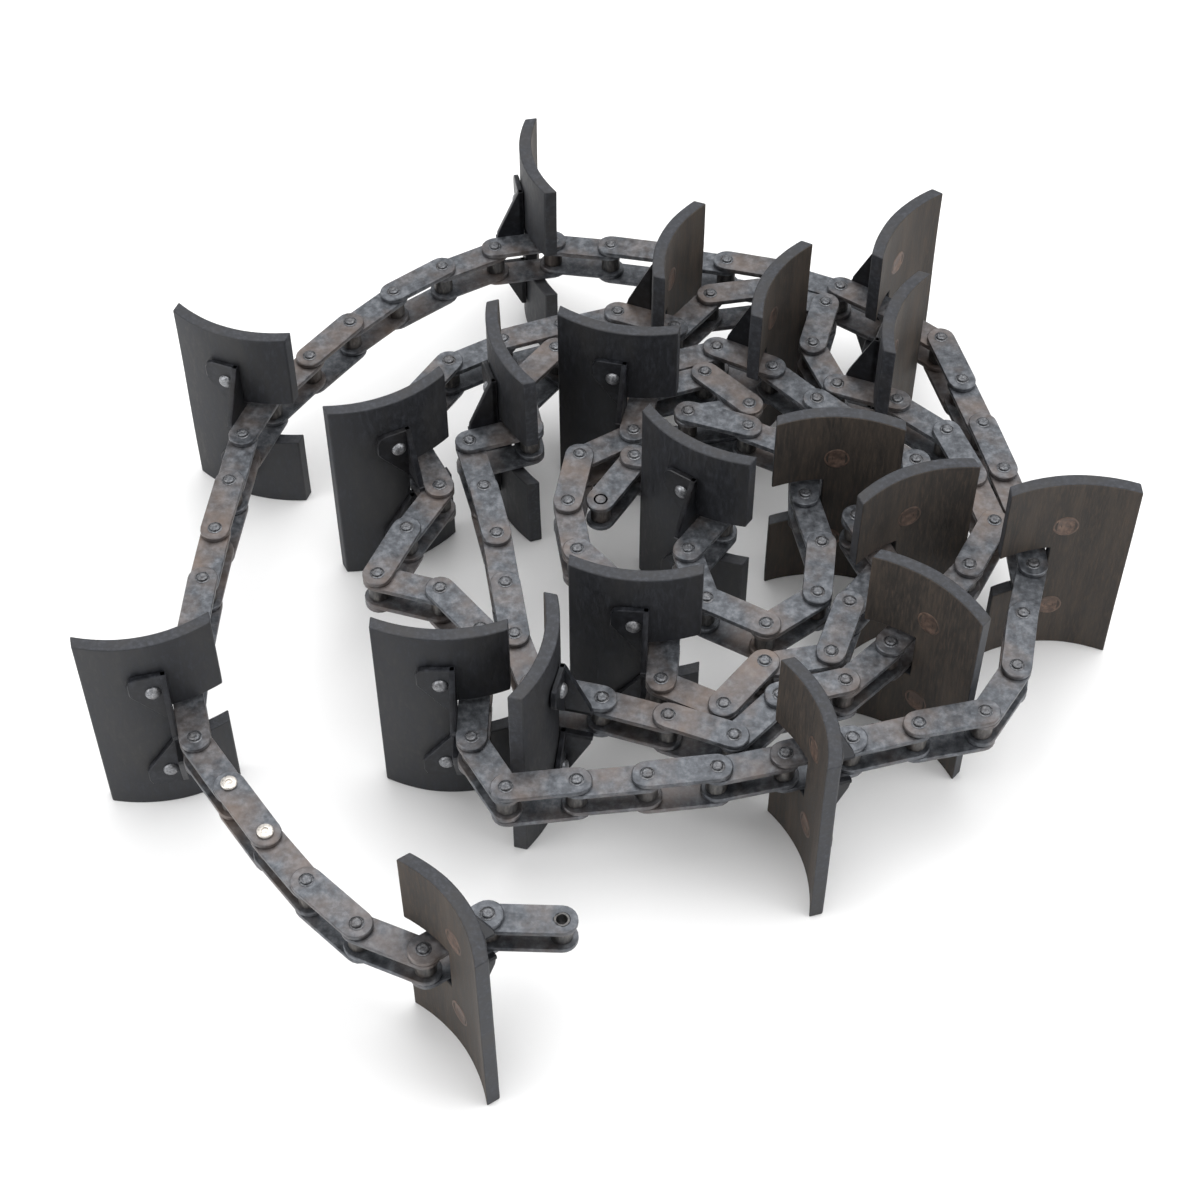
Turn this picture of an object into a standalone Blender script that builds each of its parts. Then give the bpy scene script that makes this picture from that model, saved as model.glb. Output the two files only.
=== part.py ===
# Double-pitch roller chain with riveted rubber paddles, coiled up and standing on the paddles' edges.
# The pins stand upright: the chain bends only in the horizontal plane.
# Millimetres in this file; the factor MM brings each mesh to metres. +Z is up, the floor is z = 0.

import math

import bmesh
import bpy
import numpy as np
from mathutils import Matrix, Vector

MM = 0.001
WELD_WITHIN = 0.00003

# Chain
PITCH = 38.1
INNER_WIDTH = 12.6
PLATE_THICK = 3.2
PLATE_DEPTH = 17.2
PLATE_GAP = 0.3
ROLLER_DIA = 11.9
BUSH_DIA = 8.4
PIN_DIA = 5.94
PIN_PROUD = 1.6
SCREW_HEAD_DIA = 9.0
SCREW_HEAD_HEIGHT = 1.8
PRESS_GAP = 0.1
RUN_GAP = 0.12
ROLLER_END_GAP = 0.3

# Paddle, seen along the link: t runs from the tail-side pin, n runs outward from the chain's line
PADDLE_HEIGHT = 140.0
PADDLE_THICK = 8.0
PADDLE_IN = 20.0
PADDLE_OUT = 54.0
PADDLE_SAG = 8.5
PADDLE_AT = 25.3
PADDLE_STEPS = 4
NOTCH_TO = 10.3
NOTCH_CLEAR = 2.0

# Wing: the bent-up lug of an attachment plate
WING_THICK = 3.2
WING_TOP = 48.0
WING_START = 2.5
WING_RISE = 16.0
FLANGE_OUT = 30.0
FLANGE_RISE = 35.0
RIVET_N = 17.0
RIVET_Z = 35.0
RIVET_DIA = 6.0
RIVET_HEAD_DIA = 9.0
RIVET_FLUSH_DIA = 15.6
RIVET_FLUSH_DEPTH = 1.6

# Lay: links between two paddles, the link that carries the first one, the links of one coil run
PADDLE_EVERY = 6
FIRST_PADDLE = 1
RUN_LINKS = 12
TAIL_LINKS = 8
LAY_CLEAR = 1.2
LAY_ROUNDS = 400

# One point for each pin, from the free end inward, as the chain was laid down by hand
LAY = [
    (-21, -209), (-57, -207), (-89, -229), (-121, -213), (-152, -188), (-176, -158), (-198, -127),
    (-221, -97), (-230, -59), (-230, -21), (-228, 17), (-225, 54), (-220, 92), (-218, 131),
    (-205, 167), (-181, 198), (-159, 228), (-134, 257), (-105, 280), (-73, 303), (-38, 314),
    (-1, 303), (35, 292), (72, 280), (109, 269), (144, 255), (178, 238), (203, 211),
    (224, 177), (234, 140), (243, 103), (244, 66), (238, 30), (234, -6), (227, -43),
    (200, -69), (166, -80), (131, -95), (94, -107), (58, -120), (21, -123), (-17, -124),
    (-54, -119), (-64, -82), (-62, -45), (-64, -8), (-91, 8), (-126, 19), (-113, 56),
    (-94, 90), (-112, 124), (-114, 162), (-94, 194), (-60, 213), (-24, 224), (14, 227),
    (50, 216), (64, 252), (100, 246), (135, 238), (117, 203), (147, 180), (179, 160),
    (209, 137), (225, 103), (214, 66), (208, 29), (186, 0), (163, -29), (136, -52),
    (105, -72), (76, -93), (38, -78), (0, -74), (-36, -62), (-40, -22), (-56, 14),
    (-60, 52), (-69, 90), (-79, 128), (-43, 139), (-50, 176), (-20, 195), (12, 182),
    (40, 190), (64, 194), (101, 186), (134, 166), (163, 143), (191, 119), (182, 84),
    (148, 64), (158, 28), (140, -6), (126, -26), (100, -48), (71, -66), (38, -54),
    (34, -18), (12, 10), (-11, 37), (-19, 74), (0, 108), (27, 134), (36, 168),
    (62, 182), (96, 178), (66, 154), (90, 142), (117, 118), (120, 81), (127, 44),
    (126, 9), (95, -12), (62, 4), (50, 38), (68, 72), (62, 108), (26, 112), (10, 78),
]

# Worked-out sizes: heights are above and below the chain's middle, BITE is how far joined shapes overlap
MIDDLE = PADDLE_HEIGHT / 2
INNER_LOW = INNER_WIDTH / 2
INNER_HIGH = INNER_LOW + PLATE_THICK
OUTER_LOW = INNER_HIGH + PLATE_GAP
OUTER_HIGH = OUTER_LOW + PLATE_THICK
PIN_HALF = OUTER_HIGH + PIN_PROUD
NOTCH_HALF = PIN_HALF + NOTCH_CLEAR
BITE = 0.3
FLANGE_BACK = PADDLE_AT - PADDLE_THICK / 2 - PLATE_GAP
FLANGE_FRONT = FLANGE_BACK - WING_THICK
WALL_IN = PLATE_DEPTH / 2 - 4 * BITE
WALL_OUT = PLATE_DEPTH / 2 + WING_THICK
ROUND_SIDES = 12
PLAIN_SIDES = 4
PLAIN_END_SIDES = 2
COLUMN_DIA = 9.8


def paddle_line(n):
    """The middle of a paddle's thickness, as the distance t at an outward distance n."""
    middle = (PADDLE_OUT - PADDLE_IN) / 2
    half = (PADDLE_OUT + PADDLE_IN) / 2
    return PADDLE_AT + PADDLE_SAG * ((n - middle) / half) ** 2


def touch_points():
    """Points carried by the links that may not meet: link number, place along the link, radius, kind."""
    links = np.arange(len(LAY) - 1)
    rows = [(k, share + 0j, PLATE_DEPTH / 2, 0) for k in links for share in (0, 0.2, 0.4, 0.6, 0.8)]
    rows.append((links[-1], 1 + 0j, PLATE_DEPTH / 2, 0))
    for k in links[FIRST_PADDLE::PADDLE_EVERY]:
        for n in np.linspace(1 - PADDLE_IN, PADDLE_OUT - 1, 12):
            rows.append((k, complex(paddle_line(n), n) / PITCH, PADDLE_THICK / 2 + 0.6, 1))
        for n in np.linspace(WALL_OUT, FLANGE_OUT - 1, 4):
            rows.append((k, complex(FLANGE_FRONT + 1, n) / PITCH, WING_THICK / 2 + 0.6, 2))
        for t in np.linspace(WING_START, FLANGE_FRONT, 4):
            rows.append((k, complex(t, WALL_OUT - 1) / PITCH, WING_THICK / 2 + 0.6, 2))
    owner, share, radius, kind = (np.array(column) for column in zip(*rows))
    return owner, share, radius, kind


def settle_lay():
    """Move the laid points until each link has the pitch and no two parts of the coil meet."""
    wanted = np.array([complex(x, y) for x, y in LAY])
    pins = wanted.copy()
    owner, share, radius, kind = touch_points()
    apart = np.abs(owner[:, None] - owner[None])
    wing = (kind[:, None] == 2) | (kind[None] == 2)
    plate = (kind[:, None] == 0) | (kind[None] == 0)
    behind = owner[:, None] - owner[None] == 1
    beside = (behind & (kind[:, None] == 1) & (kind[None] == 0)) | (
        behind & (kind[None] == 1) & (kind[:, None] == 0) & (share.real[:, None] >= 0.4))
    may_meet = np.triu((apart >= 2) & ~(wing & plate), 1) | beside
    one, two = np.nonzero(may_meet)
    reach = radius[one] + radius[two] + LAY_CLEAR
    for turn in range(LAY_ROUNDS):
        pins = pins + 0.02 * (1 - turn / LAY_ROUNDS) * (wanted - pins)
        points = pins[owner] + (pins[owner + 1] - pins[owner]) * share
        gap = points[one] - points[two]
        length = np.abs(gap)
        close = length < reach
        push = gap[close] / np.maximum(length[close], 1e-6) * (reach[close] - length[close]) * 0.6
        move = np.zeros(len(pins), complex)
        count = np.zeros(len(pins))
        for index, sign in ((one[close], 1), (two[close], -1)):
            head = 1 - share[index]
            foot = share[index]
            weight = np.abs(head) ** 2 + np.abs(foot) ** 2
            np.add.at(move, owner[index], sign * push * np.conj(head) / weight)
            np.add.at(move, owner[index] + 1, sign * push * np.conj(foot) / weight)
            np.add.at(count, owner[index], 1)
            np.add.at(count, owner[index] + 1, 1)
        pins = pins + move / np.maximum(count, 1)
        for start in [0, 1] * 12:
            near = np.arange(start, len(pins) - 1, 2)
            step = pins[near + 1] - pins[near]
            span = np.abs(step)
            shift = step / span * (span - PITCH) / 2
            pins[near] += shift
            pins[near + 1] -= shift
    return pins


def paddle_outline():
    """The paddle seen from above: a bent strip of even thickness along t."""
    across = np.linspace(-PADDLE_IN, PADDLE_OUT, PADDLE_STEPS + 1)
    back = [(paddle_line(n) - PADDLE_THICK / 2, n) for n in across]
    face = [(paddle_line(n) + PADDLE_THICK / 2, n) for n in across[::-1]]
    return back + face


def centred(pins):
    """Shift the lay so that the middle of its box is at the origin; the paddles reach furthest."""
    outline = np.array([complex(t, n) for t, n in paddle_outline()]) / PITCH
    starts = np.arange(FIRST_PADDLE, len(pins) - 1, PADDLE_EVERY)
    ends = np.concatenate([pins[k] + (pins[k + 1] - pins[k]) * outline for k in starts])
    x_middle = (ends.real.max() + ends.real.min()) / 2
    y_middle = (ends.imag.max() + ends.imag.min()) / 2
    return pins - complex(x_middle, y_middle)


def material(name, colour, rough, metal):
    made = bpy.data.materials.new(name)
    made.use_nodes = True
    shader = made.node_tree.nodes["Principled BSDF"]
    shader.inputs["Base Color"].default_value = (*colour, 1)
    shader.inputs["Roughness"].default_value = rough
    shader.inputs["Metallic"].default_value = metal
    return made


def extruded(outline, low, high):
    """A mesh object from a flat outline in X and Y, between two heights."""
    curve = bpy.data.curves.new("outline", "CURVE")
    curve.dimensions = "2D"
    curve.fill_mode = "BOTH"
    curve.extrude = (high - low) / 2
    spline = curve.splines.new("POLY")
    spline.points.add(len(outline) - 1)
    for point, (x, y) in zip(spline.points, outline):
        point.co = (x, y, 0, 1)
    spline.use_cyclic_u = True
    drawn = bpy.data.objects.new("outline", curve)
    bpy.context.scene.collection.objects.link(drawn)
    view = bpy.context.evaluated_depsgraph_get()
    mesh = bpy.data.meshes.new_from_object(drawn.evaluated_get(view))
    bpy.data.objects.remove(drawn)
    shape = bmesh.new()
    shape.from_mesh(mesh)
    bmesh.ops.remove_doubles(shape, verts=shape.verts, dist=0.001)
    bmesh.ops.translate(shape, verts=shape.verts, vec=(0, 0, (high + low) / 2))
    bmesh.ops.recalc_face_normals(shape, faces=shape.faces)
    bmesh.ops.dissolve_limit(shape, angle_limit=0.001, verts=shape.verts, edges=shape.edges)
    shape.to_mesh(mesh)
    shape.free()
    return bpy.data.objects.new("piece", mesh)


def rod(radius, low, high, sides=ROUND_SIDES, at=(0, 0), top_radius=None):
    """An upright cylinder, or a cone when it has a top radius."""
    shape = bmesh.new()
    end_radius = radius if top_radius is None else top_radius
    bmesh.ops.create_cone(shape, cap_ends=True, segments=sides, radius1=radius, radius2=end_radius,
                          depth=high - low)
    bmesh.ops.translate(shape, verts=shape.verts, vec=(*at, (high + low) / 2))
    mesh = bpy.data.meshes.new("rod")
    shape.to_mesh(mesh)
    shape.free()
    return bpy.data.objects.new("piece", mesh)


def bore_radius(shaft_dia, gap):
    """The corner radius of a faceted hole whose flats clear a shaft by the gap at any turn."""
    return (shaft_dia / 2 + gap) / math.cos(math.pi / ROUND_SIDES)


def turned(piece, matrix):
    piece.data.transform(matrix)
    if matrix.determinant() < 0:
        piece.data.flip_normals()
    return piece


# Local X, Y, Z laid on the link's t, n, z: upright outlines are drawn in (t, z) or (n, z)
ALONG_N = Matrix(((1, 0, 0, 0), (0, 0, 1, 0), (0, 1, 0, 0), (0, 0, 0, 1)))
ALONG_T = Matrix(((0, 0, 1, 0), (1, 0, 0, 0), (0, 1, 0, 0), (0, 0, 0, 1)))
UPSIDE_DOWN = Matrix.Diagonal((1, 1, -1, 1))


class Link:
    """One link's place: pin k is its origin, pin k + 1 lies one pitch along t."""

    def __init__(self, pins, number):
        start = pins[number]
        heading = (pins[number + 1] - start) / abs(pins[number + 1] - start)
        self.start = start
        self.end = start + heading * PITCH
        turn = Matrix.Rotation(math.atan2(heading.imag, heading.real), 4, "Z")
        self.matrix = Matrix.Translation((start.real, start.imag, MIDDLE)) @ turn

    def pin(self, number):
        place = self.start if number == 0 else self.end
        return Vector((place.real, place.imag, MIDDLE))


def stadium(sides):
    """A plate's outline: two half rounds one pitch apart, with this many sides each."""
    turns = np.linspace(-90, 90, sides + 1)
    radius = PLATE_DEPTH / 2
    far = [(PITCH + radius * math.cos(math.radians(a)), radius * math.sin(math.radians(a))) for a in turns]
    near = [(-radius * math.cos(math.radians(a)), -radius * math.sin(math.radians(a))) for a in turns]
    return far + near


def wing_pieces():
    """The wall and flange of the upper wing, in the link's own t, n and height."""
    root = OUTER_LOW + BITE * 4
    wall = [(WING_START, root), (FLANGE_BACK - BITE, root), (FLANGE_BACK - BITE, WING_TOP - BITE),
            (FLANGE_FRONT, WING_TOP - BITE), (WING_START, WING_RISE)]
    flange = [(WALL_IN + BITE, root + BITE), (WALL_OUT + BITE, root + BITE), (FLANGE_OUT, FLANGE_RISE),
              (FLANGE_OUT, WING_TOP - WING_THICK), (FLANGE_OUT - WING_THICK, WING_TOP),
              (WALL_IN + BITE, WING_TOP)]
    return [
        turned(extruded(wall, WALL_IN, WALL_OUT), ALONG_N),
        turned(extruded(flange, FLANGE_FRONT, FLANGE_BACK), ALONG_T),
    ]


def plate_pieces(sides, outer, winged):
    """The upper plate of a link, with its wing when it carries a paddle."""
    low, high = (OUTER_LOW, OUTER_HIGH) if outer else (INNER_LOW, INNER_HIGH)
    pieces = [extruded(stadium(sides), low, high)]
    return pieces + wing_pieces() if winged else pieces


def both_sides(make):
    """The pieces above the chain's middle, and their mirror images below it."""
    return make() + [turned(piece, UPSIDE_DOWN) for piece in make()]


def placed(pieces, matrix):
    return [turned(piece, matrix) for piece in pieces]


def hidden_group(name, pieces):
    group = bpy.data.collections.new(name)
    TOOLS.children.link(group)
    for piece in pieces:
        piece.name = name
        piece.hide_render = True
        piece.display_type = "WIRE"
        group.objects.link(piece)
    return group


def finish(name, pieces, origin, look, cuts=()):
    """Join the pieces into one body in world millimetres, cut it, and give it its origin and material."""
    body = pieces[0]
    origin = Vector(origin)
    for piece in [*pieces, *cuts]:
        piece.data.transform(Matrix.Scale(MM, 4) @ Matrix.Translation(-origin))
        piece.location = origin * MM
    body.name = name
    body.data.name = name
    body.data.materials.append(look)
    PARTS.objects.link(body)
    for kind, operands in (("UNION", pieces[1:]), ("DIFFERENCE", list(cuts))):
        if operands:
            modifier = body.modifiers.new(kind.lower(), "BOOLEAN")
            modifier.operation = kind
            modifier.solver = "EXACT"
            modifier.operand_type = "COLLECTION"
            modifier.collection = hidden_group(f"{name}_{kind.lower()}", operands)
    if body.modifiers:
        weld = body.modifiers.new("weld", "WELD")
        weld.merge_threshold = WELD_WITHIN
    body.data.shade_smooth()
    body.data.set_sharp_from_angle(angle=math.radians(35))
    return body


def link_plates(link, number, outer, winged=False):
    """Two separate plates, each with two pressed holes."""
    hole = bore_radius(PIN_DIA if outer else BUSH_DIA, PRESS_GAP)
    for side, flip in (("top", Matrix.Identity(4)), ("bottom", UPSIDE_DOWN)):
        matrix = link.matrix @ flip
        cuts = [rod(hole, 0, PIN_HALF, at=(t, 0)) for t in (0, PITCH)]
        if winged:
            cuts.append(rivet_hole())
        pieces = placed(plate_pieces(ROUND_SIDES // 2, outer, winged), matrix)
        finish(f"link_{number:02d}_plate_{side}", pieces, link.pin(0), STEEL, placed(cuts, matrix))


def rivet_axis(height):
    """From upright to along t, at a rivet's place."""
    return Matrix.Translation((0, RIVET_N, height)) @ Matrix.Rotation(math.radians(90), 4, "Y")


def rivet_hole():
    return turned(rod(bore_radius(RIVET_DIA, PRESS_GAP), FLANGE_FRONT - 1, PITCH), rivet_axis(RIVET_Z))


def sleeve(name, link, pin, outside, inside, half):
    """A bush or a roller about one of the link's pins."""
    matrix = Matrix.Translation(link.pin(pin))
    body = placed([rod(outside, -half, half)], matrix)
    bore = placed([rod(inside, -half - 1, half + 1)], matrix)
    return finish(name, body, link.pin(pin), STEEL, bore)


def loose_inner_link(pins, number):
    link = Link(pins, number)
    link_plates(link, number, outer=False)
    for pin, end in enumerate("ab"):
        sleeve(f"link_{number:02d}_bush_{end}", link, pin, BUSH_DIA / 2, bore_radius(PIN_DIA, RUN_GAP), INNER_HIGH)
        sleeve(f"link_{number:02d}_roller_{end}", link, pin, ROLLER_DIA / 2, bore_radius(BUSH_DIA, RUN_GAP),
               INNER_LOW - ROLLER_END_GAP)


def loose_pins(link, number, screws=False):
    for pin, end in enumerate("ab"):
        matrix = Matrix.Translation(link.pin(pin))
        pieces = [rod(PIN_DIA / 2, -PIN_HALF, PIN_HALF)]
        if screws:
            head_low = OUTER_HIGH + PLATE_GAP
            pieces.append(rod(SCREW_HEAD_DIA / 2, head_low, head_low + SCREW_HEAD_HEIGHT))
        finish(f"link_{number:02d}_{'screw' if screws else 'pin'}_{end}", placed(pieces, matrix), link.pin(pin),
               ZINC if screws else STEEL)


def rivets(link, number):
    """Domed head on the flange, flush head in the paddle's free face."""
    face = paddle_line(RIVET_N) + PADDLE_THICK / 2
    for side, height in (("top", RIVET_Z), ("bottom", -RIVET_Z)):
        matrix = link.matrix @ rivet_axis(height)
        head_back = FLANGE_FRONT - PLATE_GAP
        pieces = [
            rod(RIVET_DIA / 2, head_back - 1, face - RIVET_FLUSH_DEPTH / 2),
            rod(RIVET_HEAD_DIA / 4, head_back - 2.4, head_back, top_radius=RIVET_HEAD_DIA / 2),
            rod(RIVET_FLUSH_DIA / 2, face - RIVET_FLUSH_DEPTH + PLATE_GAP, face),
        ]
        finish(f"link_{number:02d}_rivet_{side}", placed(pieces, matrix), matrix.translation, COPPER)


def paddle(pins, number, drilled=False):
    """A bent rubber flap standing across the chain, notched where the chain passes."""
    link = Link(pins, number)
    body = [extruded(paddle_outline(), -MIDDLE, MIDDLE)]
    notch = [(-PADDLE_IN - 1, -NOTCH_HALF), (NOTCH_TO, -NOTCH_HALF), (NOTCH_TO, NOTCH_HALF),
             (-PADDLE_IN - 1, NOTCH_HALF)]
    cuts = [turned(extruded(notch, 0, 2 * PITCH), ALONG_T)]
    if drilled:
        face = paddle_line(RIVET_N) + PADDLE_THICK / 2
        for height in (RIVET_Z, -RIVET_Z):
            drill = rod(bore_radius(RIVET_DIA, PRESS_GAP), 0, 2 * PITCH)
            sink = rod(bore_radius(RIVET_FLUSH_DIA, PRESS_GAP), face - RIVET_FLUSH_DEPTH, 2 * PITCH)
            cuts += placed([drill, sink], rivet_axis(height))
    finish(f"paddle_{number:03d}", placed(body, link.matrix), link.pin(0), RUBBER, placed(cuts, link.matrix))


def is_outer(number):
    return number % 2 == 1


def has_paddle(number):
    return number % PADDLE_EVERY == FIRST_PADDLE


def column_sides(pin, bored):
    return ROUND_SIDES if pin in bored else PLAIN_SIDES


def joined_run(name, pins, first, last, bored=()):
    """Links in one body: plates of both sides, tied by a round column at each pin."""
    pieces = []
    alone = first == last
    for number in range(first, last + 1):
        link = Link(pins, number)
        winged = has_paddle(number)
        pieces += placed(both_sides(lambda: plate_pieces(PLAIN_END_SIDES, is_outer(number), winged)), link.matrix)
        if is_outer(number) and alone:
            pieces += placed([rod(PIN_DIA / 2, -PIN_HALF, PIN_HALF, at=(t, 0)) for t in (0, PITCH)], link.matrix)
            continue
        half = INNER_LOW + BITE if number == first else OUTER_LOW + 2 * BITE
        pieces += placed([rod(COLUMN_DIA / 2, -half, half, column_sides(number, bored))], link.matrix)
        if number == last and not is_outer(number):
            half = INNER_LOW + BITE
            column = rod(COLUMN_DIA / 2, -half, half, column_sides(number + 1, bored), at=(PITCH, 0))
            pieces += placed([column], link.matrix)
    cuts = []
    for number in bored:
        bore = rod(bore_radius(PIN_DIA, RUN_GAP), -PIN_HALF - 1, PIN_HALF + 1, at=((number - first) * PITCH, 0))
        cuts += placed([bore], Link(pins, first).matrix)
    finish(name, pieces, Link(pins, first).pin(0), STEEL, cuts)


for leftover in list(bpy.data.objects):
    bpy.data.objects.remove(leftover)
PARTS = bpy.data.collections.new("paddle_chain")
TOOLS = bpy.data.collections.new("paddle_chain_tools")

STEEL = material("worn_steel", (0.13, 0.14, 0.15), 0.5, 0.85)
ZINC = material("zinc_plated_steel", (0.65, 0.62, 0.58), 0.35, 0.9)
COPPER = material("coppered_steel", (0.16, 0.09, 0.07), 0.5, 0.8)
RUBBER = material("black_rubber", (0.02, 0.021, 0.025), 0.75, 0.0)

chain = centred(settle_lay())
last_link = len(LAY) - 2

# Free end, piece by piece
loose_inner_link(chain, 0)
first_attachment = Link(chain, 1)
link_plates(first_attachment, 1, outer=True, winged=True)
loose_pins(first_attachment, 1)
rivets(first_attachment, 1)
paddle(chain, 1, drilled=True)
loose_inner_link(chain, 2)
link_plates(Link(chain, 3), 3, outer=True)
loose_pins(Link(chain, 3), 3)
joined_run("link_04", chain, 4, 4, bored=(4, 5))
link_plates(Link(chain, 5), 5, outer=True)
loose_pins(Link(chain, 5), 5, screws=True)
joined_run("link_06", chain, 6, 6, bored=(6, 7))
joined_run("link_07", chain, 7, 7)

# Coil, in runs
for run, first in enumerate(range(TAIL_LINKS, last_link + 1, RUN_LINKS), 1):
    last = min(first + RUN_LINKS - 1, last_link)
    joined_run(f"coil_run_{run:02d}", chain, first, last, bored=(first,) if run == 1 else ())
for number in range(FIRST_PADDLE + PADDLE_EVERY, last_link + 1, PADDLE_EVERY):
    paddle(chain, number)

bpy.context.scene.collection.children.link(PARTS)
bpy.context.scene.collection.children.link(TOOLS)
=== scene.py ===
import math

import bmesh
import bpy
import numpy as np
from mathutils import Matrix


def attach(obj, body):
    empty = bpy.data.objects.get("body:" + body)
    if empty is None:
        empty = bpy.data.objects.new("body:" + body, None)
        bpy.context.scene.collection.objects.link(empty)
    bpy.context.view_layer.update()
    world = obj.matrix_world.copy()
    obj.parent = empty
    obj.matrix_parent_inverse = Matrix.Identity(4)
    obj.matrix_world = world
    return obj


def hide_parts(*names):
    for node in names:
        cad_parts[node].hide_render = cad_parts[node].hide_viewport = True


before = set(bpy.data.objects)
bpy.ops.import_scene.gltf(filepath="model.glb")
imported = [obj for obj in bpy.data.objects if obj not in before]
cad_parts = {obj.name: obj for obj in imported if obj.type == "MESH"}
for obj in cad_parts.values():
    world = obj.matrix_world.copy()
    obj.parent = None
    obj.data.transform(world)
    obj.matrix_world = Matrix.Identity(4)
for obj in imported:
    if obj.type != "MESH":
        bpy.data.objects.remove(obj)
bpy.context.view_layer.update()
print("frame loaded")

# Everything here is in millimetres until a mesh is written; t runs along a link, n outward, z up
mm = 0.001
chain = dict(pitch=38.1, innerWidth=12.6, plateThick=3.2, plateDepth=17.2, gap=0.3, rollerRadius=5.95,
             bushRadius=4.2, pinRadius=2.97, pinProud=1.6, screwRadius=4.5, screwHigh=1.8)
flap = dict(high=140.0, thick=8.0, inner=20.0, outer=54.0, sag=8.5, at=25.3, notch=10.3, notchClear=2.0)
wing = dict(thick=3.2, top=48.0, start=2.5, rise=16.0, out=30.0, outRise=35.0)
rivet = dict(n=17.0, z=35.0, radius=4.5, high=2.8, flush=7.8)
every, firstPaddle, runLinks, tailLinks = 6, 1, 12, 8
lay = dict(clear=1.2, rounds=400, pull=0.02, push=0.6, pitchPasses=12, ease=0.6)
roundSides, edgeSize = 28, 0.45

innerLow = chain["innerWidth"] / 2
innerHigh = innerLow + chain["plateThick"]
outerLow = innerHigh + chain["gap"]
outerHigh = outerLow + chain["plateThick"]
pinHalf = outerHigh + chain["pinProud"]
middle = flap["high"] / 2
notchHalf = pinHalf + flap["notchClear"]
wallIn = chain["plateDepth"] / 2 - 1.2
wallOut = chain["plateDepth"] / 2 + wing["thick"]
flangeBack = flap["at"] - flap["thick"] / 2 - chain["gap"]
flangeFront = flangeBack - wing["thick"]

# One point for each pin, as in the CAD source: pins that can be seen follow the photograph, the others are
# given
layPoints = [
    (-21, -209), (-57, -207), (-89, -229), (-121, -213), (-152, -188), (-176, -158), (-198, -127),
    (-221, -97), (-230, -59), (-230, -21), (-228, 17), (-225, 54), (-220, 92), (-218, 131),
    (-205, 167), (-181, 198), (-159, 228), (-134, 257), (-105, 280), (-73, 303), (-38, 314),
    (-1, 303), (35, 292), (72, 280), (109, 269), (144, 255), (178, 238), (203, 211),
    (224, 177), (234, 140), (243, 103), (244, 66), (238, 30), (234, -6), (227, -43),
    (200, -69), (166, -80), (131, -95), (94, -107), (58, -120), (21, -123), (-17, -124),
    (-54, -119), (-64, -82), (-62, -45), (-64, -8), (-91, 8), (-126, 19), (-113, 56),
    (-94, 90), (-112, 124), (-114, 162), (-94, 194), (-60, 213), (-24, 224), (14, 227),
    (50, 216), (64, 252), (100, 246), (135, 238), (117, 203), (147, 180), (179, 160),
    (209, 137), (225, 103), (214, 66), (208, 29), (186, 0), (163, -29), (136, -52),
    (105, -72), (76, -93), (38, -78), (0, -74), (-36, -62), (-40, -22), (-56, 14),
    (-60, 52), (-69, 90), (-79, 128), (-43, 139), (-50, 176), (-20, 195), (12, 182),
    (40, 190), (64, 194), (101, 186), (134, 166), (163, 143), (191, 119), (182, 84),
    (148, 64), (158, 28), (140, -6), (126, -26), (100, -48), (71, -66), (38, -54),
    (34, -18), (12, 10), (-11, 37), (-19, 74), (0, 108), (27, 134), (36, 168),
    (62, 182), (96, 178), (66, 154), (90, 142), (117, 118), (120, 81), (127, 44),
    (126, 9), (95, -12), (62, 4), (50, 38), (68, 72), (62, 108), (26, 112), (10, 78),
]


def paddleLine(n):
    centre = (flap["outer"] - flap["inner"]) / 2
    half = (flap["outer"] + flap["inner"]) / 2
    return flap["at"] + flap["sag"] * ((n - centre) / half) ** 2


def touchPoints():
    links = np.arange(len(layPoints) - 1)
    rows = [(k, share + 0j, chain["plateDepth"] / 2, 0) for k in links for share in (0, 0.2, 0.4, 0.6, 0.8)]
    rows.append((links[-1], 1 + 0j, chain["plateDepth"] / 2, 0))
    for k in links[firstPaddle::every]:
        for n in np.linspace(1 - flap["inner"], flap["outer"] - 1, 12):
            rows.append((k, complex(paddleLine(n), n) / chain["pitch"], flap["thick"] / 2 + lay["ease"], 1))
        for n in np.linspace(wallOut, wing["out"] - 1, 4):
            rows.append((k, complex(flangeFront + 1, n) / chain["pitch"], wing["thick"] / 2 + lay["ease"], 2))
        for t in np.linspace(wing["start"], flangeFront, 4):
            rows.append((k, complex(t, wallOut - 1) / chain["pitch"], wing["thick"] / 2 + lay["ease"], 2))
    return [np.array(column) for column in zip(*rows)]


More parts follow.
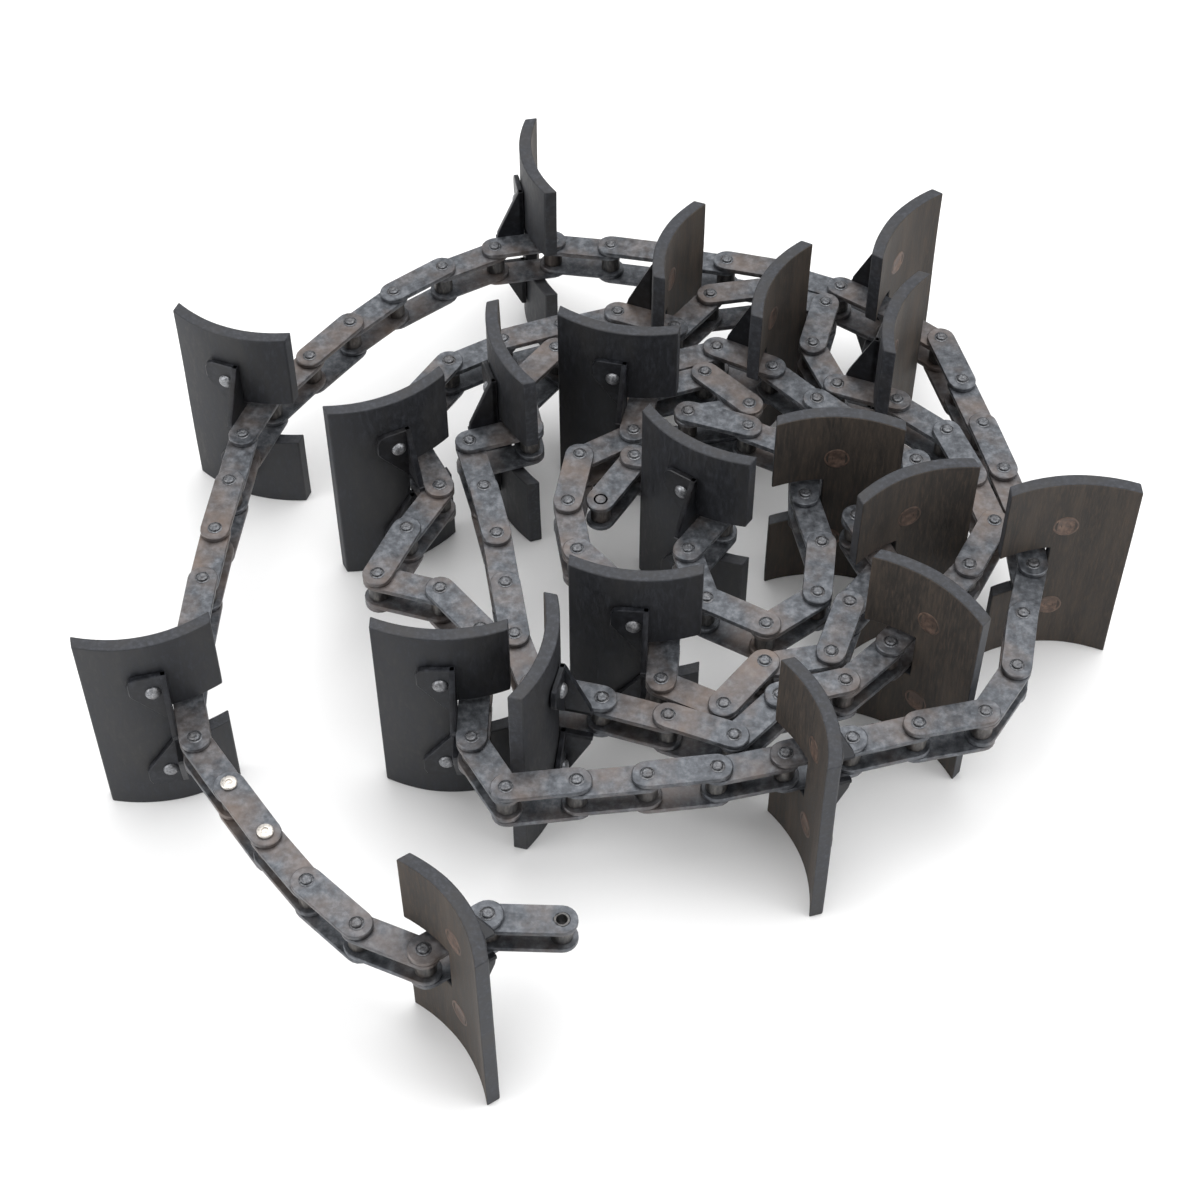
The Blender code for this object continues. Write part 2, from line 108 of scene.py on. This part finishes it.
def settleLay():
    wanted = np.array([complex(x, y) for x, y in layPoints])
    pins = wanted.copy()
    owner, share, radius, kind = touchPoints()
    apart = np.abs(owner[:, None] - owner[None])
    wings = (kind[:, None] == 2) | (kind[None] == 2)
    plates = (kind[:, None] == 0) | (kind[None] == 0)
    behind = owner[:, None] - owner[None] == 1
    beside = (behind & (kind[:, None] == 1) & (kind[None] == 0)) | (
        behind & (kind[None] == 1) & (kind[:, None] == 0) & (share.real[:, None] >= 0.4))
    one, two = np.nonzero(np.triu((apart >= 2) & ~(wings & plates), 1) | beside)
    reach = radius[one] + radius[two] + lay["clear"]
    for turn in range(lay["rounds"]):
        pins = pins + lay["pull"] * (1 - turn / lay["rounds"]) * (wanted - pins)
        points = pins[owner] + (pins[owner + 1] - pins[owner]) * share
        gap = points[one] - points[two]
        length = np.abs(gap)
        close = length < reach
        push = gap[close] / np.maximum(length[close], 1e-6) * (reach[close] - length[close]) * lay["push"]
        move = np.zeros(len(pins), complex)
        count = np.zeros(len(pins))
        for index, sign in ((one[close], 1), (two[close], -1)):
            head = 1 - share[index]
            foot = share[index]
            weight = np.abs(head) ** 2 + np.abs(foot) ** 2
            np.add.at(move, owner[index], sign * push * np.conj(head) / weight)
            np.add.at(move, owner[index] + 1, sign * push * np.conj(foot) / weight)
            np.add.at(count, owner[index], 1)
            np.add.at(count, owner[index] + 1, 1)
        pins = pins + move / np.maximum(count, 1)
        for start in [0, 1] * lay["pitchPasses"]:
            near = np.arange(start, len(pins) - 1, 2)
            step = pins[near + 1] - pins[near]
            span = np.abs(step)
            shift = step / span * (span - chain["pitch"]) / 2
            pins[near] += shift
            pins[near + 1] -= shift
    return pins


def boxMiddle(pins):
    across = np.linspace(-flap["inner"], flap["outer"], 5)
    half = flap["thick"] / 2
    outline = np.array([complex(paddleLine(n) + side, n) for n in across for side in (-half, half)])
    starts = np.arange(firstPaddle, len(pins) - 1, every)
    ends = np.concatenate([pins[k] + (pins[k + 1] - pins[k]) / chain["pitch"] * outline for k in starts])
    return complex((ends.real.max() + ends.real.min()) / 2, (ends.imag.max() + ends.imag.min()) / 2)


laidPins = settleLay()
centre = boxMiddle(laidPins)
pins = laidPins - centre
lastLink = len(pins) - 2
print("lay settled")


# Shapes: each is (vertices, faces), and shapes are moved and joined as arrays


# Closed solid from a stack of rings with equal counts, capped at both ends
def loft(rings):
    rings = np.asarray(rings, float)
    levels, count = rings.shape[:2]
    base = np.arange(levels - 1)[:, None] * count
    here = np.arange(count)[None]
    after = (here + 1) % count
    above = base + count
    quads = np.stack([base + here, base + after, above + after, above + here], -1).reshape(-1, 4)
    caps = [list(range(count))[::-1], list(range((levels - 1) * count, levels * count))]
    return rings.reshape(-1, 3), quads.tolist() + caps


# A flat outline given thickness, with its edges eased
def slab(outline, low, high, edge=edgeSize):
    flat = np.asarray(outline, float)
    heart = flat.mean(0)
    offset = heart - flat
    eased = flat + offset / np.linalg.norm(offset, axis=1)[:, None] * edge * 1.3
    stack = [(eased, low), (flat, low + edge), (flat, high - edge), (eased, high)]
    return loft([np.column_stack([ring, np.full(len(ring), height)]) for ring, height in stack])


# One ring of points for each radius and height
def turnedRings(profile):
    turn = np.arange(roundSides) * 2 * math.pi / roundSides
    return [np.column_stack([r * np.cos(turn), r * np.sin(turn), np.full(roundSides, z)]) for r, z in profile]


# Radius and height pairs turned about Z
def lathe(profile):
    return loft(turnedRings(profile))


# A stack of rings whose last ring meets the first, so the solid is open through the middle
def hollow(rings):
    rings = np.asarray(rings, float)
    levels, count = rings.shape[:2]
    base = np.arange(levels)[:, None]
    here = np.arange(count)[None]
    after = (here + 1) % count
    above = (base + 1) % levels * count
    base = base * count
    quads = np.stack([base + here, base + after, above + after, above + here], -1).reshape(-1, 4)
    return rings.reshape(-1, 3), quads.tolist()


# A closed profile turned about Z
def tube(profile):
    return hollow(turnedRings(profile))


def join(shapes):
    verts, faces, start = [], [], 0
    for shapeVerts, shapeFaces in shapes:
        verts.append(shapeVerts)
        faces += [[v + start for v in face] for face in shapeFaces]
        start += len(shapeVerts)
    return np.concatenate(verts), faces


# Lay a shape's X, Y, Z on other axes
def swap(shape, order):
    verts = np.zeros_like(shape[0])
    verts[:, list(order)] = shape[0]
    return verts, shape[1]


def below(shape):
    return shape[0] * (1, 1, -1), shape[1]


bothSides = {"top": lambda shape: shape, "bottom": below}


def onLink(shape, number):
    heading = (pins[number + 1] - pins[number]) / abs(pins[number + 1] - pins[number])
    verts = shape[0]
    flat = (verts[:, 0] + 1j * verts[:, 1]) * heading + pins[number]
    return np.column_stack([flat.real, flat.imag, verts[:, 2] + middle]), shape[1]


def atPin(shape, number):
    return shape[0] + (pins[number].real, pins[number].imag, middle), shape[1]


def stadium():
    turns = np.radians(np.linspace(-90, 90, 11))
    radius = chain["plateDepth"] / 2
    far = np.column_stack([chain["pitch"] + radius * np.cos(turns), radius * np.sin(turns)])
    near = np.column_stack([-radius * np.cos(turns), -radius * np.sin(turns)])
    return np.vstack([far, near])


# The attachment plate's lug: foot, rising wall, bend and the flange behind the rubber
def wingShape():
    foot = slab([(wing["start"], 2), (flangeBack, 2), (flangeBack, wallOut), (wing["start"], wallOut)],
                outerLow + 0.1, outerHigh - 0.1)
    wall = slab([(wing["start"], outerLow), (flangeBack, outerLow), (flangeBack, wing["top"]),
                 (flangeFront, wing["top"]), (wing["start"] + 1, wing["rise"])], wallIn + 1.2, wallOut)
    corner = 5.0
    flange = slab([(wallIn + 1.2, outerLow), (wallOut, outerLow), (wing["out"] - 1, wing["outRise"] - 2),
                   (wing["out"], wing["outRise"]), (wing["out"], wing["top"] - corner),
                   (wing["out"] - 1.5, wing["top"] - 1.5), (wing["out"] - corner, wing["top"]),
                   (wallIn + 1.2, wing["top"])], flangeFront, flangeBack)
    return join([foot, swap(wall, (0, 2, 1)), swap(flange, (1, 2, 0))])


# An inner plate open at its tail-side hole; the hole's points lie at the outline's own angles
def boredPlate(bore, edge=edgeSize):
    flat = stadium()
    turn = np.arctan2(flat[:, 1], flat[:, 0])
    hole = np.column_stack([np.cos(turn), np.sin(turn)]) * bore
    wide = np.column_stack([np.cos(turn), np.sin(turn)]) * (bore + edge)
    eased = flat * (1 - edge / chain["pitch"] * 1.5)
    stack = [(eased, innerLow), (flat, innerLow + edge), (flat, innerHigh - edge), (eased, innerHigh),
             (wide, innerHigh), (hole, innerHigh - edge), (hole, innerLow + edge), (wide, innerLow)]
    return hollow([np.column_stack([ring, np.full(len(ring), height)]) for ring, height in stack])


innerPlate = slab(stadium(), innerLow, innerHigh)
outerPlate = slab(stadium(), outerLow, outerHigh)
lug = wingShape()


# A riveted pin: worn crown, rolled rim and a dark groove round it
def pinShape():
    r = chain["pinRadius"]
    half = [(r, 0), (r, outerHigh - 0.1), (r + 1.25, outerHigh - 0.1), (r + 1.3, outerHigh + 0.25),
            (r + 0.75, outerHigh + 0.45), (r + 0.5, outerHigh + 0.15), (r + 0.1, outerHigh + 0.15),
            (r, pinHalf - 0.5), (r - 0.5, pinHalf - 0.08), (r - 1.2, pinHalf), (0.6, pinHalf - 0.15)]
    return lathe([(radius, -z) for radius, z in half[:0:-1]] + half)


def screwShape():
    r = chain["screwRadius"]
    low = outerHigh + chain["gap"]
    high = low + chain["screwHigh"]
    shank = chain["pinRadius"]
    return lathe([(0.5, -pinHalf), (shank - 0.4, -pinHalf), (shank, -pinHalf + 0.4), (shank, low),
                  (r - 0.3, low), (r, low + 0.3), (r, high - 0.6), (r - 0.25, high - 0.25), (r - 0.7, high),
                  (1.9, high), (1.7, high - 0.9), (0.4, high - 1.0)])


def bushShape():
    r = chain["bushRadius"]
    return tube([(r, -innerHigh), (r, innerHigh), (chain["pinRadius"] + 0.1, innerHigh),
                 (chain["pinRadius"] + 0.1, -innerHigh)])


def rollerShape():
    r, half = chain["rollerRadius"], innerLow - chain["gap"]
    bore = chain["bushRadius"] + 0.1
    return tube([(r - 0.5, -half), (r, -half + 0.5), (r, half - 0.5), (r - 0.5, half),
                 (bore, half), (bore, -half)])


# Silver dome on the flange, and the flush copper disc in the rubber's free face
def rivetShapes():
    r, high = rivet["radius"], rivet["high"]
    face = paddleLine(rivet["n"]) + flap["thick"] / 2
    arc = np.radians(np.linspace(0, 84, 7))
    dome = lathe([(r * math.cos(a), high * math.sin(a)) for a in arc])
    rim = rivet["flush"]
    disc = lathe([(rim, -1.2), (rim, 0.1), (rim - 0.4, 0.35), (rim - 1.2, 0.35), (rim - 1.6, 0.15),
                  (3.2, 0.2), (2.8, 0.05), (0.4, 0.05)])
    domes, discs = [], []
    for height in (rivet["z"], -rivet["z"]):
        domes.append((swap(dome, (1, 2, 0))[0] * (-1, 1, 1) + (flangeFront, rivet["n"], height), dome[1]))
        discs.append((swap(disc, (1, 2, 0))[0] + (face, rivet["n"], height), disc[1]))
    return domes, discs


# A bent slab with a notch, on a grid whose lines fall on the notch's edges; each flap is warped a little
def flapShape(seed):
    rng = np.random.default_rng(seed)
    n = np.concatenate([np.linspace(-flap["inner"], flap["notch"], 9),
                        np.linspace(flap["notch"], flap["outer"], 14)[1:]])
    z = np.concatenate([np.linspace(-middle, -notchHalf, 12), np.linspace(-notchHalf, notchHalf, 8)[1:],
                        np.linspace(notchHalf, middle, 12)[1:]])
    solid = ~((n[:-1, None] + 0.01 < flap["notch"]) & (np.abs(z[:-1] + z[1:])[None] / 2 < notchHalf))
    grid = np.stack(np.meshgrid(n, z, indexing="ij"), -1)
    wave = rng.uniform(-0.5, 0.5, 3)
    away = np.clip((np.abs(grid[..., 0] - rivet["n"]) - 14) / 30, 0, 1)
    bend = away * (wave[0] * np.sin(grid[..., 1] / 22) + wave[1] * grid[..., 1] / middle * 1.6)
    line = paddleLine(grid[..., 0]) + bend
    sides = [np.stack([line + half, grid[..., 0], grid[..., 1]], -1).reshape(-1, 3)
             for half in (-flap["thick"] / 2, flap["thick"] / 2)]
    count = len(z)
    total = len(n) * count
    faces, marks = [], []
    for i, j in zip(*np.nonzero(solid)):
        a, b, c, d = i * count + j, (i + 1) * count + j, (i + 1) * count + j + 1, i * count + j + 1
        faces += [[a, b, c, d], [a + total, d + total, c + total, b + total]]
        marks += [0, 1]
        for (di, dj), (p, q) in {(0, -1): (a, b), (1, 0): (b, c), (0, 1): (c, d), (-1, 0): (d, a)}.items():
            u, v = i + di, j + dj
            if not (0 <= u < solid.shape[0] and 0 <= v < solid.shape[1] and solid[u, v]):
                faces.append([q, p, p + total, q + total])
                marks.append(2)
    return (np.concatenate(sides), faces), marks


# Materials


def colour(text):
    parts = np.array([int(text[i:i + 2], 16) / 255 for i in (0, 2, 4)])
    linear = np.where(parts <= 0.04045, parts / 12.92, ((parts + 0.055) / 1.055) ** 2.4)
    return (*linear, 1)


def add(tree, kind, inputs=(), **settings):
    node = tree.nodes.new("ShaderNode" + kind)
    for name, value in settings.items():
        setattr(node, name, value)
    for name, value in dict(inputs).items():
        if isinstance(value, bpy.types.NodeSocket):
            tree.links.new(value, node.inputs[name])
        else:
            node.inputs[name].default_value = value
    return node


def ramp(tree, factor, stops):
    node = add(tree, "ValToRGB", {"Fac": factor})
    elements = node.color_ramp.elements
    while len(elements) < len(stops):
        elements.new(0.5)
    for element, (place, shade) in zip(elements, stops):
        element.position = place
        element.color = colour(shade)
    return node.outputs["Color"]


# Two scales of mottling for the colour, dust in patches, fine bump; grain is in mm
def finishOf(name, stops, grain, stretch, rough, metal, dust, dustAmount, bump):
    made = bpy.data.materials.new(name)
    made.use_nodes = True
    tree = made.node_tree
    shader = tree.nodes["Principled BSDF"]
    place = add(tree, "TexCoord")
    inMm = add(tree, "Mapping", {"Vector": place.outputs["Object"], "Scale": [1000 * s for s in stretch]})
    fine = add(tree, "TexNoise", {"Vector": inMm.outputs["Vector"], "Scale": 1 / grain, "Detail": 6.0,
                                  "Roughness": 0.65})
    broad = add(tree, "TexNoise", {"Vector": inMm.outputs["Vector"], "Scale": 1 / (grain * 9), "Detail": 4.0,
                                   "Roughness": 0.6})
    base = ramp(tree, fine.outputs["Fac"], stops)
    patch = add(tree, "MapRange", {"Value": broad.outputs["Fac"], "From Min": 0.45, "From Max": 0.7,
                                   "To Min": 0.0, "To Max": dustAmount})
    mixed = add(tree, "Mix", data_type="RGBA")
    tree.links.new(patch.outputs["Result"], mixed.inputs["Factor"])
    tree.links.new(base, mixed.inputs[6])
    mixed.inputs[7].default_value = colour(dust)
    roughness = add(tree, "MapRange", {"Value": fine.outputs["Fac"], "From Min": 0.3, "From Max": 0.7,
                                       "To Min": rough - 0.1, "To Max": rough + 0.12})
    relief = add(tree, "Bump", {"Height": fine.outputs["Fac"], "Strength": 0.5, "Distance": bump * mm})
    tree.links.new(mixed.outputs[2], shader.inputs["Base Color"])
    tree.links.new(roughness.outputs["Result"], shader.inputs["Roughness"])
    tree.links.new(relief.outputs["Normal"], shader.inputs["Normal"])
    shader.inputs["Metallic"].default_value = metal
    return made


even = (1, 1, 1)
looks = {
    # Worn rolled steel, grey-blue with a film of rust and old grease
    "steel": finishOf("worn_rolled_steel", [(0.3, "3a3c40"), (0.5, "585b60"), (0.7, "7b7e83")], 5.0, even,
                      0.46, 0.6, "7d6c60", 0.65, 0.06),
    # Steel of the bent lugs, coloured near-black as painted shade for the wings that stand in shadow
    "lug": finishOf("lug_steel_painted_shade", [(0.3, "131418"), (0.5, "1d1f24"), (0.7, "34363c")], 5.0, even,
                    0.42, 0.4, "2a2725", 0.5, 0.06),
    # Rollers and bushes, rubbed brighter
    "roller": finishOf("rubbed_steel", [(0.35, "3a3a3c"), (0.55, "5c5b5a"), (0.7, "7d7a76")], 2.0,
                       (1, 1, 0.3), 0.42, 0.7, "4d3f36", 0.5, 0.06),
    # Pin ends, a little lighter than the plates
    "pin": finishOf("pin_end_steel", [(0.3, "37383b"), (0.5, "606266"), (0.7, "8c8d8f")], 1.2, even,
                    0.42, 0.7, "4a4039", 0.4, 0.08),
    # Zinc-plated screws of the connecting link
    "zinc": finishOf("zinc_plate", [(0.3, "a9a49d"), (0.5, "cfcac3"), (0.7, "ebe6e0")], 1.5, even,
                     0.32, 0.55, "9a9086", 0.3, 0.05),
    # Silver domes of the rivets
    "dome": finishOf("rivet_dome_steel", [(0.3, "55565a"), (0.5, "85878b"), (0.7, "b4b5b7")], 1.2, even,
                     0.36, 0.7, "5c544d", 0.4, 0.06),
    # Coppered flush rivet heads
    "copper": finishOf("coppered_rivet", [(0.3, "3f352f"), (0.5, "5a4940"), (0.7, "7a6457")], 3.0, even,
                       0.52, 0.25, "3d3632", 0.6, 0.06),
    # Moulded rubber, near-black with a blue cast
    "rubber": finishOf("black_moulded_rubber", [(0.3, "121317"), (0.5, "1a1c21"), (0.68, "2b2d33")], 2.4,
                       (1, 1, 0.35), 0.6, 0.0, "2b2a29", 0.6, 0.2),
    # The free faces, dusted brown by the grain
    "dusty": finishOf("dusty_rubber", [(0.32, "221f1c"), (0.5, "302b27"), (0.68, "463c34")], 1.3,
                      (1, 1, 0.13), 0.72, 0.0, "51463c", 0.45, 0.3),
    # Cut edges, paler where they rub
    "edge": finishOf("rubbed_rubber_edge", [(0.3, "1c1d21"), (0.5, "2b2d32"), (0.7, "414349")], 2.6, even,
                     0.66, 0.0, "35322f", 0.5, 0.16),
}
print("materials made")


# Pieces


# One object at the origin, riding on a body, standing for the CAD nodes that it names
def piece(name, shapes, look, body, nodes=(), marks=None, bevel=0.0, angle=35):
    verts, faces = join(shapes)
    mesh = bpy.data.meshes.new(name)
    mesh.from_pydata((verts * mm).tolist(), [], faces)
    for kind in (look if isinstance(look, tuple) else (look,)):
        mesh.materials.append(looks[kind])
    if marks is not None:
        mesh.polygons.foreach_set("material_index", marks)
    shape = bmesh.new()
    shape.from_mesh(mesh)
    bmesh.ops.recalc_face_normals(shape, faces=shape.faces)
    shape.to_mesh(mesh)
    shape.free()
    mesh.shade_smooth()
    mesh.set_sharp_from_angle(angle=math.radians(angle))
    made = bpy.data.objects.new(name, mesh)
    bpy.context.scene.collection.objects.link(made)
    if bevel:
        rounding = made.modifiers.new("edges", "BEVEL")
        rounding.width = bevel * mm
        rounding.segments = 2
        rounding.limit_method = "ANGLE"
        rounding.angle_limit = math.radians(50)
    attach(made, body)
    if nodes:
        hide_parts(*nodes)
    return made


def isOuter(number):
    return number % 2 == 1


def hasPaddle(number):
    return number % every == firstPaddle


def plateAt(number):
    if number == 0:
        return boredPlate(chain["bushRadius"])
    return outerPlate if isOuter(number) else innerPlate


def makePaddle(number, body):
    shape, marks = flapShape(number)
    piece(f"flap_{number:03d}", [onLink(shape, number)], ("rubber", "dusty", "edge"), body,
          [f"paddle_{number:03d}"], marks, bevel=0.8, angle=40)
    domes, discs = rivetShapes()
    for side, dome, disc in zip(("top", "bottom"), domes, discs):
        stands = [f"link_{number:02d}_rivet_{side}"] if number == firstPaddle else []
        piece(f"rivet_{side}_{number:03d}", [onLink(dome, number)], "dome", body, stands)
        piece(f"rivet_disc_{side}_{number:03d}", [onLink(disc, number)], "copper", body)


def loosePlates(number, body):
    for side, flip in bothSides.items():
        piece(f"plate_{side}_{number:03d}", [onLink(flip(plateAt(number)), number)], "steel", body,
              [f"link_{number:02d}_plate_{side}"])
        if hasPaddle(number):
            piece(f"lug_{side}_{number:03d}", [onLink(flip(lug), number)], "lug", body)


def looseInner(number, body, rollers):
    loosePlates(number, body)
    for place, end in enumerate("ab"):
        piece(f"bush_{end}_{number:03d}", [atPin(bushShape(), number + place)], "roller", body,
              [f"link_{number:02d}_bush_{end}"])
        piece(f"roller_{end}_{number:03d}", [atPin(rollerShape(), number + place)], "roller", rollers[place],
              [f"link_{number:02d}_roller_{end}"])


def loosePins(number, body, shape, word, look):
    for place, end in enumerate("ab"):
        piece(f"{word}_{end}_{number:03d}", [atPin(shape, number + place)], look, body,
              [f"link_{number:02d}_{word}_{end}"])


# A run of links whose CAD is one body: plates, lugs, rollers, bushes and pins as separate pieces
def joined(name, first, last, body, node):
    links = range(first, last + 1)
    plates = [onLink(flip(plateAt(k)), k) for k in links for flip in bothSides.values()]
    piece(f"plates_{name}", plates, "steel", body, [node])
    lugged = [k for k in links if hasPaddle(k)]
    if lugged:
        lugs = [onLink(flip(lug), k) for k in lugged for flip in bothSides.values()]
        piece(f"lugs_{name}", lugs, "lug", body)
    inner = [k for k in links if not isOuter(k)]
    if inner:
        ends = [k + place for k in inner for place in (0, 1)]
        piece(f"rollers_{name}", [atPin(rollerShape(), k) for k in ends], "roller", body)
        piece(f"bushes_{name}", [atPin(bushShape(), k) for k in ends], "roller", body)
    outer = [k for k in links if isOuter(k)]
    if outer:
        piece(f"pins_{name}", [atPin(pinShape(), k + place) for k in outer for place in (0, 1)], "pin", body)


looseInner(0, "end_link_0", ("end_link_roller_a", "end_link_roller_b"))
loosePlates(1, "attachment_link_1")
loosePins(1, "attachment_link_1", pinShape(), "pin", "pin")
makePaddle(1, "attachment_link_1")
looseInner(2, "inner_link_2", ("inner_link_2_roller_a", "inner_link_2_roller_b"))
loosePlates(3, "outer_link_3")
loosePins(3, "outer_link_3", pinShape(), "pin", "pin")
joined("link_04", 4, 4, "inner_link_4", "link_04")
loosePlates(5, "connecting_link_5")
loosePins(5, "connecting_link_5", screwShape(), "screw", "zinc")
joined("link_06", 6, 6, "inner_link_6", "link_06")
joined("link_07", 7, 7, "attachment_link_7", "link_07")
makePaddle(7, "attachment_link_7")
for run, first in enumerate(range(tailLinks, lastLink + 1, runLinks), 1):
    joined(f"run_{run:02d}", first, min(first + runLinks - 1, lastLink), "coil", f"coil_run_{run:02d}")
for number in range(firstPaddle + 2 * every, lastLink + 1, every):
    makePaddle(number, "coil")
print("pieces made")


# Floor, light and camera

studio = dict(floorReach=6.0, paperShade=0.9, paperRoughness=0.9, worldStrength=0.75)
view = dict(lens=71.23, sensor=36, back=0.8605, high=1.122, tilt=39.66, image=1200)  # the photograph's angle
floorMesh = bpy.data.meshes.new("floor")
reachOut = studio["floorReach"]
floorMesh.from_pydata([(-reachOut, -reachOut, 0), (reachOut, -reachOut, 0), (reachOut, reachOut, 0),
                       (-reachOut, reachOut, 0)], [], [(0, 1, 2, 3)])
floor = bpy.data.objects.new("floor", floorMesh)
bpy.context.scene.collection.objects.link(floor)
paper = bpy.data.materials.new("white_paper")
paper.use_nodes = True
paper.node_tree.nodes["Principled BSDF"].inputs["Base Color"].default_value = (*[studio["paperShade"]] * 3, 1)
paper.node_tree.nodes["Principled BSDF"].inputs["Roughness"].default_value = studio["paperRoughness"]
floorMesh.materials.append(paper)


def areaLight(name, place, size, power):
    data = bpy.data.lights.new(name, "AREA")
    data.size = size
    data.energy = power
    lamp = bpy.data.objects.new(name, data)
    bpy.context.scene.collection.objects.link(lamp)
    lamp.location = place
    aim = bpy.data.objects.new(name + "_aim", None)
    bpy.context.scene.collection.objects.link(aim)
    track = lamp.constraints.new("TRACK_TO")
    track.target = aim
    track.track_axis = "TRACK_NEGATIVE_Z"
    track.up_axis = "UP_Y"


# Place and width in metres, power in watts
lights = {"sky": ((0.2, 0.4, 2.2), 2.2, 42), "left": ((-1.8, -0.6, 1.1), 1.2, 16),
          "right": ((1.7, -0.5, 1.2), 1.2, 12)}
for name, (place, size, power) in lights.items():
    areaLight(name, place, size, power)
world = bpy.data.worlds.new("studio")
bpy.context.scene.world = world
world.use_nodes = True
world.node_tree.nodes["Background"].inputs["Color"].default_value = (1, 1, 1, 1)
world.node_tree.nodes["Background"].inputs["Strength"].default_value = studio["worldStrength"]

lens = bpy.data.cameras.new("camera")
lens.lens = view["lens"]
lens.sensor_width = view["sensor"]
camera = bpy.data.objects.new("camera", lens)
bpy.context.scene.collection.objects.link(camera)
camera.location = (-centre.real * mm, -view["back"] - centre.imag * mm, view["high"])
camera.rotation_euler = (math.radians(view["tilt"]), 0, 0)
bpy.context.scene.camera = camera
bpy.context.scene.render.resolution_x = view["image"]
bpy.context.scene.render.resolution_y = view["image"]
bpy.context.scene.view_settings.view_transform = "Standard"

print("staged")
